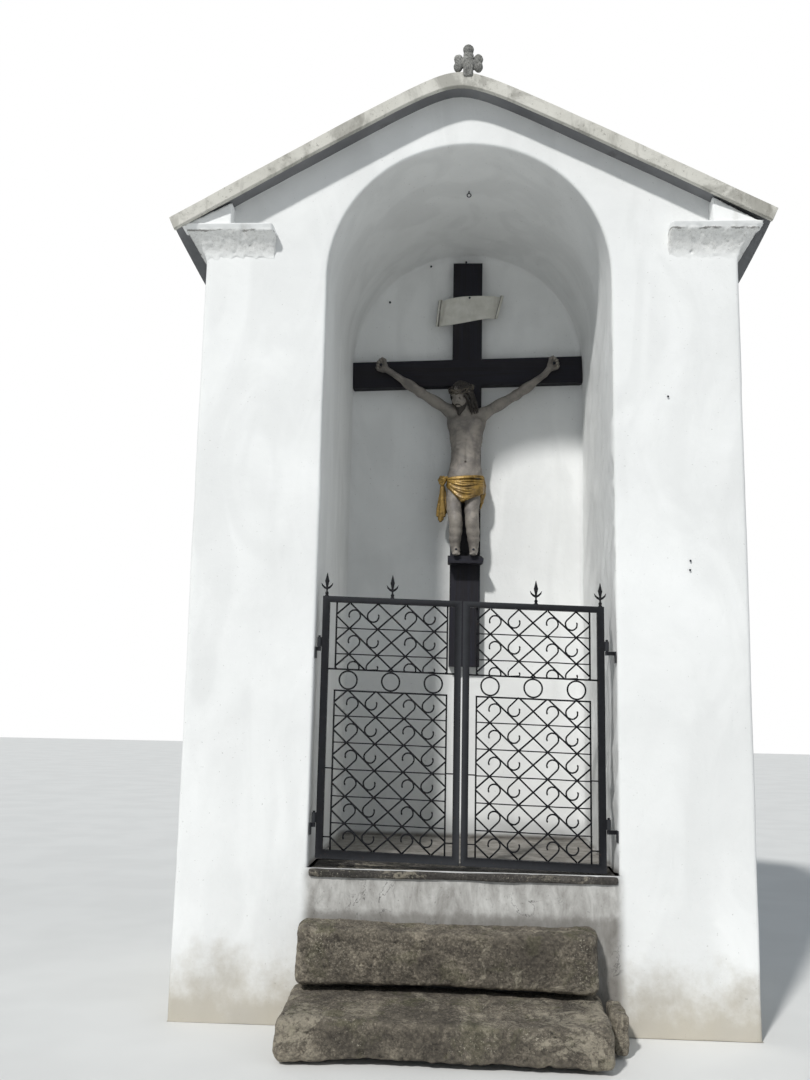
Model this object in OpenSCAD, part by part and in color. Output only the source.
/* [Masonry body] */
// Width of the front wall
body_w = 2700; // [2300:50:3100]
// Depth of the whole masonry block, front to back
body_d = 1650; // [1550:10:1900]
// Width of the arched niche
niche_w = 1442; // [1300:10:1560]
// Depth of the niche from the front wall to its back wall
niche_d = 1375; // [1250:10:1400]
// Height of the niche floor above the ground
floor_z = 700; // [600:10:850]
// Height above the ground where the arch springs
spring_z = 3610; // [3560:10:3700]
// Thickness of the sill slab at the mouth of the niche
sill_t = 45; // [30:5:60]
// How far the sill slab runs into the niche
sill_d = 330; // [200:10:400]
// How far the sill slab stands out of the wall
sill_nose = 22; // [10:1:40]

/* [Roof] */
// Mean pitch of the two roof slopes in degrees
roof_pitch = 29; // [26:0.5:31]
// How much steeper the left slope is than the right one, in degrees
pitch_diff = 2.8; // [0:0.1:4]
// Sideways shift of the ridge against the middle of the front wall
ridge_x = -60; // [-90:5:60]
// Masonry between the crown of the niche and the ceiling under the ridge
crown_t = 267; // [240:1:400]
// Radius of the rounded ridge
ridge_r = 250; // [180:10:400]
// How far the eaves reach beyond the side walls
eave_out = 150; // [130:2:180]
// How far the verge reaches in front of the front wall
verge_out = 130; // [124:2:200]
// Thickness of the ceiling boards
deck_t = 26; // [20:2:34]
// Thickness of the roof skin above the boards
cover_t = 30; // [24:2:40]
// Height of the band along the verge
band_h = 78; // [72:2:90]
// Thickness of the band along the verge
band_t = 26; // [16:2:36]
// Height of the stone cross above the roof
cross_h = 158; // [140:2:220]

/* [Cornice] */
// Reach of the cornice in front of the wall at its top
cornice_out = 92; // [70:2:110]
// Height of the hollow of the cornice
cornice_h = 200; // [160:10:220]
// Length of the cornice return on the front wall
return_l = 325; // [260:5:360]
// Width of the block above the return
block_w = 140; // [100:5:180]

/* [Steps] */
// Width of the lower step
low_step_w = 1407; // [1300:1:1500]
// Rise of the lower step
low_step_h = 200; // [160:5:240]
// Reach of the lower step in front of the wall
low_step_d = 570; // [480:10:700]
// How much narrower the upper step is than the lower one
up_step_in = 33; // [0:1:120]
// Rise of the upper step
up_step_h = 290; // [240:5:320]
// Reach of the upper step in front of the wall
up_step_d = 215; // [180:5:320]
// Sideways shift of the steps against the middle of the niche
step_shift = -69; // [-80:1:0]

/* [Crucifix] */
// Width of the upright plank of the cross
plank_w = 184; // [160:2:200]
// Height of the plank of the cross beam
beam_w = 168; // [150:2:190]
// Thickness of the planks of the cross
plank_t = 70; // [50:2:90]
// Height of the foot of the upright above the ground
post_z0 = 1700; // [1500:10:1800]
// Gap between the head of the upright and the crown of the niche
post_gap = 74; // [60:2:200]
// Gap between the ends of the cross beam and the sides of the niche
beam_gap = 4; // [2:1:60]
// Drop of the middle of the cross beam below the spring of the arch
beam_drop = 76; // [40:2:120]
// Lean of the cross beam in degrees
beam_lean = 1.8; // [0:0.1:2.4]
// Height of the carved figure from crown to toes
figure_h = 1080; // [1040:10:1100]

/* [Gate] */
// Height of the gate leaves without the spear heads
leaf_h = 1238; // [1150:2:1300]
// Gap under the gate leaves
leaf_gap = 22; // [10:1:30]
// Gap between the two leaves
meet_gap = 7; // [7:0.5:10]
// Sideways shift of the line where the leaves meet
meet_x = -12; // [-20:1:0]
// Fall of the rails and rods from left to right in degrees
gate_fall = 1.5; // [0:0.1:2]
// Width of the stiles and thickness of the frames
stile = 33; // [30:1:40]
// Height of the bottom rails
rail = 38; // [30:1:44]
// Height of the top rails
top_rail = 28; // [24:1:44]
// Gap between the left leaf and the side of the niche
hinge_gap = 29; // [28:1:34]
// Thickness of the lattice bars
bar = 8; // [7:0.5:10]
// Thickness of the thin lattice rods
rod = 6; // [5:0.5:8]
// Distance of the lattice frame from the stiles
lattice_in = 31; // [28:1:38]
// Diameter of the hinge pins
pin_d = 12; // [10:1:14]

/* [Hidden] */
$fn = 48;
nw = niche_w / 2;
bw = body_w / 2;
arch_top = spring_z + nw;
beam_l = niche_w - 2 * beam_gap;
fk = figure_h / 1080;
slope = (tan(roof_pitch + pitch_diff / 2) + tan(roof_pitch - pitch_diff / 2)) / 2;
skew = (tan(roof_pitch - pitch_diff / 2) - tan(roof_pitch + pitch_diff / 2)) / 2;
ridge_z = arch_top + crown_t;
ridge_w = slope * ridge_r;
beam_z = spring_z - beam_drop;
post_z1 = arch_top - post_gap;
band_low = 16;
cross_x = -12;
bed = 0.2;
up_step_w = low_step_w - up_step_in;
roof_x = bw + eave_out;
back_out = 60;
back_y = body_d + back_out;
cornice_z1 = min(outer_run(-bw - cornice_out), outer_run(bw + cornice_out)) - 4 * bed;
cornice_z0 = cornice_z1 - cornice_h;
hollow_r = (pow(cornice_h - 36, 2) + pow(cornice_out - 4, 2)) / (2 * (cornice_out - 4));
leaf_w = nw - hinge_gap - meet_gap / 2 + meet_x;
leaf_z = floor_z + leaf_gap;
leaf_y = 26;
leaf_in = leaf_w - 2 * stile;
pan_w = leaf_in - 2 * lattice_in;
low_h = 750 * leaf_h / 1238;
ring_h = 94 * leaf_h / 1238;
pz = low_h / 6;
px = pan_w / 4;
up_z0 = rail + low_h + ring_h;
up_h = leaf_h - top_rail - up_z0;
axis_x = meet_gap / 2 + leaf_w + 11;
fall = tan(gate_fall);
knuckle_r = 10;
hinge_z = [leaf_z + 180, leaf_z + leaf_h - 230];
knuckle_h = 46;
white = [0.9, 0.9, 0.88];
grey = [0.5, 0.5, 0.48];
iron = [0.12, 0.13, 0.14];
dark = [0.1, 0.08, 0.07];
flesh = [0.68, 0.62, 0.56];

// Height of the underside of the roof at a distance x from the middle
function under(x) = ridge_z + slope * ridge_w - skew * (x - ridge_x)
  - slope * sqrt(pow(x - ridge_x, 2) + ridge_w * ridge_w);

// The straight outer run of the underside of the roof at a place x
function outer_run(x) = let (
  e = x > ridge_x ? roof_x : -roof_x,
  k = ridge_x + ridge_w * tan(x > ridge_x ? 77 : -77))
  under(k) + (x - k) * (under(e) - under(k)) / (e - k);

// Points of a roof line lifted by t, from x = -e to x = e
function line_pts(e, t) = concat(
  [[-e, outer_run(-e) + t]],
  [for (i = [-7 : 7]) [ridge_x + ridge_w * tan(11 * i), under(ridge_x + ridge_w * tan(11 * i)) + t]],
  [[e, outer_run(e) + t]]);

function rev(l) = [for (i = [len(l) - 1 : -1 : 0]) l[i]];

// A layer of the roof between two lifts, extruded from y0 to y1
module roof_layer(e, t0, t1, y0, y1) {
  translate([0, y1, 0])
    rotate([90, 0, 0])
      linear_extrude(y1 - y0)
        polygon(concat(line_pts(e, t0), rev(line_pts(e, t1))));
}

// Everything below the roof between two y planes, short of it by a thin bed
module below_roof(y0, y1, z0) {
  translate([0, y1, 0])
    rotate([90, 0, 0])
      linear_extrude(y1 - y0)
        polygon(concat(line_pts(roof_x, -bed), [[roof_x, z0], [-roof_x, z0]]));
}

// The arched hollow of the niche, smaller by g at the sides and the crown
module niche_shape(g, d) {
  translate([g - nw, -1, floor_z])
    cube([niche_w - 2 * g, d + 1, spring_z - floor_z]);
  translate([0, -1, spring_z])
    rotate([-90, 0, 0])
      cylinder(r = nw - g, h = d + 1, $fn = 64);
}

module base_block() {
  color(white)
    difference() {
      translate([-bw, 0, 0])
        cube([body_w, body_d, floor_z]);
      translate([-nw, -1, floor_z - sill_t])
        cube([niche_w, sill_d + 1, sill_t + 1]);
    }
}

module left_wall() {
  color(white)
    translate([-bw, 0, floor_z])
      cube([bw - nw, body_d, spring_z - floor_z]);
}

module right_wall() {
  color(white)
    translate([nw, 0, floor_z])
      cube([bw - nw, body_d, spring_z - floor_z]);
}

module back_wall() {
  color(white)
    translate([-nw, niche_d, floor_z])
      cube([niche_w, body_d - niche_d, spring_z - floor_z]);
}

// Half of the vault with its half of the gable, s = -1 for the left side
module vault_half(s) {
  color(white)
    difference() {
      intersection() {
        below_roof(0, body_d, spring_z);
        translate([s > 0 ? 0 : -bw, -1, spring_z])
          cube([bw, body_d + 2, 1500]);
      }
      niche_shape(0, niche_d);
    }
}

module vault_left() {
  vault_half(-1);
}

module vault_right() {
  vault_half(1);
}

// Hollow profile of the cornice, x outward from the wall, y up
module cornice_profile() {
  difference() {
    translate([0, -4])
      square([cornice_out, cornice_h + 4]);
    translate([hollow_r + 4, -4])
      circle(r = hollow_r, $fn = 96);
  }
}

module cornice(s) {
  color(white)
    mirror([s > 0 ? 0 : 1, 0, 0])
      translate([0, 0, cornice_z0]) {
        translate([bw, body_d, 0])
          rotate([90, 0, 0])
            linear_extrude(body_d)
              cornice_profile();
        translate([bw - return_l, 0, 0])
          rotate([90, 0, 90])
            linear_extrude(return_l)
              mirror([1, 0])
                cornice_profile();
        intersection() {
          translate([bw, 0, 0])
            rotate([90, 0, 0])
              linear_extrude(cornice_out)
                cornice_profile();
          translate([bw, 0, 0])
            rotate([90, 0, 90])
              linear_extrude(cornice_out)
                mirror([1, 0])
                  cornice_profile();
        }
      }
}

module left_cornice() {
  cornice(-1);
}

module right_cornice() {
  cornice(1);
}

module corner_block(s) {
  color(white)
    intersection() {
      below_roof(-cornice_out, 0, cornice_z1 - 20);
      translate([s > 0 ? bw - block_w : -bw - cornice_out, -cornice_out - 1, cornice_z1])
        cube([block_w + cornice_out, cornice_out + 2, 600]);
    }
}

module left_corner_block() {
  corner_block(-1);
}

module right_corner_block() {
  corner_block(1);
}

module lower_step() {
  color(grey)
    translate([step_shift - low_step_w / 2, -low_step_d, 0])
      cube([low_step_w, low_step_d, low_step_h]);
}

module upper_step() {
  color(grey)
    translate([step_shift - up_step_w / 2, -up_step_d, low_step_h])
      cube([up_step_w, up_step_d, up_step_h]);
}

module side_stone() {
  color(grey)
    translate([step_shift + low_step_w / 2, -330, 0])
      linear_extrude(185)
        polygon([[0, 0], [62, 30], [84, 150], [60, 262], [0, 280]]);
}

module sill_slab() {
  color(grey)
    translate([-nw, -sill_nose, floor_z - sill_t])
      cube([niche_w, sill_d + sill_nose, sill_t]);
}

module roof_deck() {
  color(grey)
    roof_layer(roof_x - 14, 0, deck_t, -verge_out + band_t, back_y - band_t);
}

module roof_skin() {
  color([0.62, 0.61, 0.57])
    roof_layer(roof_x, deck_t, deck_t + cover_t, -verge_out + band_t, back_y - band_t);
}

module verge_band(y0) {
  color([0.7, 0.69, 0.65])
    roof_layer(roof_x + 4, -band_low, band_h - band_low, y0, y0 + band_t);
}

module front_verge_band() {
  verge_band(-verge_out);
}

module back_verge_band() {
  verge_band(back_y - band_t);
}

// A rounded lobe, w wide and h high, centred in x with its foot at y
module lobe(x, y, w, h) {
  translate([x - w / 2, y + w / 2])
    square([w, h - w]);
  for (e = [w / 2, h - w / 2])
    translate([x, y + e])
      circle(d = w, $fn = 24);
}

module ridge_cross() {
  foot = under(cross_x) + band_h - band_low;
  color([0.6, 0.6, 0.57])
    difference() {
      translate([cross_x, 46 - verge_out - 12, foot])
        rotate([90, 0, 0])
          linear_extrude(46)
            union() {
              translate([-28, -40])
                square([56, cross_h + 10]);
              lobe(0, cross_h - 62, 58, 62);
              lobe(-52, 0.04 * cross_h, 48, 0.6 * cross_h);
              lobe(52, 0.04 * cross_h, 48, 0.6 * cross_h);
            }
      roof_layer(roof_x + 4, -40, deck_t + cover_t, -verge_out + band_t, back_y);
      roof_layer(roof_x + 4, -40, band_h - band_low, -verge_out, -verge_out + band_t);
      translate([-200, -verge_out - 20, foot - 60])
        cube([400, 20, 34]);
    }
}

module vault_hook() {
  color(iron)
    translate([0, 500, arch_top]) {
      translate([0, 0, -14])
        cylinder(r = 3, h = 14 - bed, $fn = 16);
      translate([0, 0, -24])
        rotate([90, 0, 0])
          rotate_extrude($fn = 16)
            translate([11, 0])
              circle(r = 3, $fn = 8);
    }
}

module beam_box(grow) {
  translate([0, niche_d - plank_t, beam_z])
    rotate([0, -beam_lean, 0])
      translate([-beam_l / 2 - grow, -grow, -beam_w / 2])
        cube([beam_l + 2 * grow, plank_t + 2 * grow, beam_w]);
}

module cross_upright() {
  color(dark)
    difference() {
      translate([-plank_w / 2, niche_d - plank_t, post_z0])
        cube([plank_w, plank_t, post_z1 - post_z0]);
      beam_box(1);
    }
}

module cross_beam() {
  color(dark)
    intersection() {
      beam_box(0);
      niche_shape(beam_gap / 2, niche_d + 10);
    }
}

// Places the figure and what goes with it, drawn from the middle of the beam in its front plane
module on_cross() {
  translate([0, niche_d - plank_t, beam_z])
    scale(fk)
      children();
}

module title_board() {
  color([0.75, 0.73, 0.68])
    on_cross()
      translate([0, 0, 405])
        union() {
          rotate([90, 0, 0])
            linear_extrude(14)
              polygon([[-196, -104], [-110, -98], [-10, -76], [90, -60], [184, -54],
                [221, 90], [120, 96], [10, 96], [-80, 84], [-178, 60]]);
          translate([-200, -16, -106])
            rotate([0, 6, 0])
              cylinder(r = 15, h = 168, $fn = 24);
          translate([187, -16, -57])
            rotate([0, 14, 0])
              cylinder(r = 15, h = 152, $fn = 24);
        }
}

module foot_rest() {
  color(dark)
    on_cross()
      union() {
        translate([-104, -104, -1221])
          cube([194, 104, 43]);
        translate([90, 0, -1199.5])
          rotate([90, 0, 0])
            cylinder(r = 21.5, h = 104, $fn = 24);
      }
}

// A limb between two points with a round end of its own radius at each
module limb(a, b, ra, rb) {
  hull() {
    translate(a)
      sphere(r = ra, $fn = 12);
    translate(b)
      sphere(r = rb, $fn = 12);
  }
}

module body_shape() {
  difference() {
    union() {
      limb([-36, -112, -150], [-26, -106, -220], 54, 42);
      limb([-10, -84, -245], [0, -74, -320], 34, 42);
      limb([-96, -64, -272], [98, -64, -288], 46, 46);
      limb([-58, -70, -345], [56, -70, -352], 60, 60);
      limb([-38, -74, -450], [36, -74, -445], 60, 60);
      limb([-32, -64, -520], [28, -64, -520], 58, 58);
      limb([-30, -62, -590], [28, -62, -590], 54, 54);
      limb([-54, -64, -680], [44, -64, -680], 60, 60);
      limb([-6, -78, -385], [-4, -64, -660], 66, 60);
      limb([-62, -66, -730], [-49, -106, -962], 54, 40);
      limb([46, -66, -730], [37, -106, -962], 54, 40);
      limb([-49, -102, -985], [-58, -82, -1065], 39, 38);
      limb([37, -102, -985], [58, -84, -1065], 39, 36);
      limb([-58, -80, -1070], [-55, -70, -1130], 36, 28);
      limb([58, -82, -1070], [56, -72, -1130], 34, 28);
      limb([-55, -68, -1142], [-50, -100, -1162], 26, 22);
      limb([56, -68, -1142], [52, -100, -1162], 26, 22);
    }
    translate([-400, 0, -1325])
      cube([800, 300, 1500]);
    translate([-200, -300, -1278])
      cube([400, 300, 100]);
  }
}

module figure_body() {
  color(flesh)
    on_cross()
      body_shape();
}

// Shoulder, elbow, forearm, wrist and palm of an arm, s = -1 for the side at the left of the viewer
function arm_pts(s) = s < 0
  ? [[-106, -64, -262], [-286, -50, -146], [-375, -44, -84], [-480, -32, -8], [-542, -30, 30]]
  : [[108, -64, -282], [306, -50, -160], [392, -44, -98], [486, -32, -20], [545, -30, 42]];

module arm(s) {
  q = arm_pts(s);
  color(flesh)
    on_cross()
      difference() {
        union() {
          limb(q[0], q[1], 38, 32);
          limb(q[1], q[2], 32, 33);
          limb(q[2], q[3], 33, 24);
          arm_end(s);
        }
        translate([-800, 0, -525])
          cube([1600, 300, 900]);
        translate([s > 0 ? -100 : 0, -300, -525])
          cube([100, 400, 700]);
        body_shape();
      }
}

module figure_left_arm() {
  arm(-1);
}

module figure_right_arm() {
  arm(1);
}

module figure_nails() {
  color(iron)
    on_cross()
      for (s = [-1, 1])
        difference() {
          translate([arm_pts(s)[4][0], -52, arm_pts(s)[4][2]])
            rotate([90, 0, 0])
              cylinder(r = 8, h = 18, $fn = 16);
          arm_end(s);
        }
}

// The hand end of an arm
module arm_end(s) {
  limb(arm_pts(s)[3], arm_pts(s)[4], 24, 32);
}

module crown_of_thorns() {
  color([0.2, 0.16, 0.1])
    on_cross()
      difference() {
        translate([-38, -112, -143])
          rotate([14, -8, 0])
            rotate_extrude($fn = 20)
              translate([57, 0])
                circle(r = 10, $fn = 8);
        body_shape();
      }
}

module loincloth() {
  color([0.66, 0.5, 0.16])
    on_cross()
      difference() {
        union() {
          limb([-58, -68, -750], [46, -68, -742], 66, 68);
          limb([-24, -84, -792], [26, -84, -786], 60, 56);
          limb([-118, -72, -722], [-148, -68, -730], 26, 22);
          limb([-146, -62, -730], [-134, -60, -938], 20, 33);
        }
        body_shape();
        translate([-400, 0, -1325])
          cube([800, 300, 1500]);
      }
}

module pintles(s) {
  ax = axis_x + s * meet_x;
  color(iron)
    mirror([s > 0 ? 0 : 1, 0, 0])
      for (z = hinge_z) {
        translate([nw - 6, leaf_y - 20, z - 56])
          cube([6, 40, 54]);
        translate([ax, leaf_y - 9, z - 20])
          cube([nw - 6 - ax, 18, 18]);
        translate([ax, leaf_y, z - 20])
          cylinder(r = 9, h = 18, $fn = 24);
        translate([ax, leaf_y, z - 3])
          cylinder(d = pin_d, h = knuckle_h + 11, $fn = 32);
      }
}

module left_hinge_pintles() {
  pintles(-1);
}

module right_hinge_pintles() {
  pintles(1);
}

// A point of the gate lowered by its fall
function dn(p) = [p[0], p[1] - fall * p[0]];

// An upright rectangle whose level sides follow the fall
module fallen(x, y, w, h) {
  polygon([dn([x, y]), dn([x + w, y]), dn([x + w, y + h]), dn([x, y + h])]);
}

module leaf_frame(s) {
  ax = axis_x + s * meet_x;
  color(iron)
    union() {
      in_leaf(s, -stile, 0, stile)
        difference() {
          fallen(0, 0, leaf_w, leaf_h);
          fallen(stile, rail, leaf_in, leaf_h - rail - top_rail);
        }
      mirror([s > 0 ? 0 : 1, 0, 0])
        for (z = hinge_z)
          difference() {
            union() {
              translate([ax, leaf_y, z])
                cylinder(r = knuckle_r, h = knuckle_h, $fn = 32);
              translate([ax - 23, leaf_y, z])
                cube([23, 9, knuckle_h]);
            }
            translate([ax, leaf_y, z - 1])
              cylinder(d = pin_d + 0.1, h = knuckle_h + 2, $fn = 32);
          }
    }
}

// A flat bar between two points in the plane, both lowered by the fall
module flat_bar(a, b, w) {
  d = dn(b) - dn(a);
  translate(dn(a))
    rotate(atan2(d[1], d[0]))
      translate([0, -w / 2])
        square([norm(d), w]);
}

curl_r = 0.21 * px;
curl_c = [0.165 * px, 0.5 * pz];
curl_a = atan2(curl_c[1], curl_c[0]) - asin(curl_r / norm(curl_c));
curl_l = sqrt(norm(curl_c) * norm(curl_c) - curl_r * curl_r);

// A curl that starts in the lower left corner of its cell
module curl() {
  n = 8;
  a0 = curl_a - 96;
  a1 = 212;
  flat_bar([-3, -3 * tan(curl_a)], [curl_l * cos(curl_a), curl_l * sin(curl_a)], bar);
  polygon(concat(
    [for (i = [0 : n]) dn(curl_c + (curl_r + bar / 2) * [cos(a0 + (a1 - a0) * i / n), sin(a0 + (a1 - a0) * i / n)])],
    [for (i = [n : -1 : 0]) dn(curl_c + (curl_r - bar / 2) * [cos(a0 + (a1 - a0) * i / n), sin(a0 + (a1 - a0) * i / n)])]));
}

// Crossed bars and curls over rows of cells counted down from the top edge at y = h
module lattice(h) {
  rows = ceil(h / pz - 0.01);
  intersection() {
    fallen(bar / 2, bar / 3, pan_w - bar, h - bar * 0.6);
    union() {
      for (k = [-rows : 4])
        flat_bar([(k - 0.55) * px, h + 0.05 * pz], [(k + rows + 0.55) * px, h - (rows + 1.05) * pz], bar);
      for (r = [0 : rows - 1]) {
        zt = h - r * pz;
        for (c = [0, 2, 4])
          flat_bar([(c - 0.53) * px, zt - 1.03 * pz], [(c + 0.53) * px, zt + 0.03 * pz], bar);
        for (c = [1, 3])
          translate(dn([(c - 0.5) * px, zt - pz]))
            curl();
        for (c = [1, 3])
          translate(dn([(c + 0.5) * px, zt]))
            rotate(180)
              curl();
      }
      for (r = [1 : max(1, rows - 1)])
        fallen(0, h - r * pz - rod / 2, pan_w, rod);
    }
  }
}

// Left end of a flat shape that starts x inside the left stile of a leaf
function left_end(s, x) = meet_x + x
  + (s > 0 ? meet_gap / 2 + stile : -meet_gap / 2 - stile - leaf_in);

// Puts a flat shape into the plane of a leaf, x from the inner side of its left stile
module in_leaf(s, x, z, t) {
  translate([left_end(s, x), leaf_y + stile / 2 + t / 2, leaf_z + z - fall * left_end(s, x)])
    rotate([90, 0, 0])
      linear_extrude(t)
        children();
}

module lower_lattice(s) {
  color(iron)
    in_leaf(s, lattice_in, rail, bar)
      union() {
        lattice(low_h);
        fallen(0, 0, bar, low_h - bar / 2);
        fallen(pan_w - bar, 0, bar, low_h - bar / 2);
        fallen(0, low_h - bar, pan_w, bar);
        for (z = [0.075, 0.5])
          for (x = [-lattice_in, pan_w])
            fallen(x, low_h * z, lattice_in, rod);
      }
}

module upper_lattice(s) {
  color(iron)
    in_leaf(s, lattice_in, up_z0, bar)
      union() {
        lattice(up_h);
        fallen(0, bar / 2, bar, up_h - bar / 2);
        fallen(pan_w - bar, bar / 2, bar, up_h - bar / 2);
        fallen(-lattice_in, 0, leaf_in, bar);
      }
}

module ring_row(s) {
  color(iron)
    in_leaf(s, lattice_in, rail + low_h, bar)
      for (c = [0.5, 2, 3.5])
        translate(dn([c * px, ring_h / 2]))
          difference() {
            circle(r = ring_h / 2 - 0.2, $fn = 24);
            circle(r = ring_h / 2 - bar, $fn = 24);
          }
}

// Half the outline of a spear head with its horn, e = -1 for the left half
function spear_pts(e) = [for (q = [[4.5, 4], [4.5, 34], [14, 38], [22, 46], [27, 56], [29, 67], [23, 60],
  [16, 52], [5, 47], [7.5, 60], [10, 76], [6, 97], [0.6, 118]]) [e * q[0], q[1]]];

module spear_heads(s) {
  mid = meet_x + s * (meet_gap / 2 + (0.51 + s * 0.01) * leaf_w);
  end = meet_x + s * (meet_gap / 2 + leaf_w - stile / 2);
  color(iron)
    for (x = [mid, end])
      translate([x, leaf_y + stile / 2, leaf_z + leaf_h - fall * x + 11 * fall])
        union() {
          cylinder(r1 = 11, r2 = 6, h = 7, $fn = 16);
          translate([0, 0, 15])
            sphere(r = 8, $fn = 14);
          translate([0, 5, 0])
            rotate([90, 0, 0])
              linear_extrude(10)
                polygon(concat(spear_pts(-1), rev(spear_pts(1))));
        }
}

module left_leaf_frame() {
  leaf_frame(-1);
}

module left_upper_lattice() {
  upper_lattice(-1);
}

module left_ring_row() {
  ring_row(-1);
}

module left_lower_lattice() {
  lower_lattice(-1);
}

module left_spear_heads() {
  spear_heads(-1);
}

module right_leaf_frame() {
  leaf_frame(1);
}

module right_upper_lattice() {
  upper_lattice(1);
}

module right_ring_row() {
  ring_row(1);
}

module right_lower_lattice() {
  lower_lattice(1);
}

module right_spear_heads() {
  spear_heads(1);
}

base_block();
left_wall();
right_wall();
back_wall();
vault_left();
vault_right();
left_cornice();
right_cornice();
left_corner_block();
right_corner_block();
lower_step();
upper_step();
side_stone();
sill_slab();
roof_deck();
roof_skin();
front_verge_band();
back_verge_band();
ridge_cross();
vault_hook();
cross_upright();
cross_beam();
title_board();
foot_rest();
figure_body();
figure_left_arm();
figure_right_arm();
figure_nails();
crown_of_thorns();
loincloth();
left_hinge_pintles();
right_hinge_pintles();
left_leaf_frame();
left_upper_lattice();
left_ring_row();
left_lower_lattice();
left_spear_heads();
right_leaf_frame();
right_upper_lattice();
right_ring_row();
right_lower_lattice();
right_spear_heads();
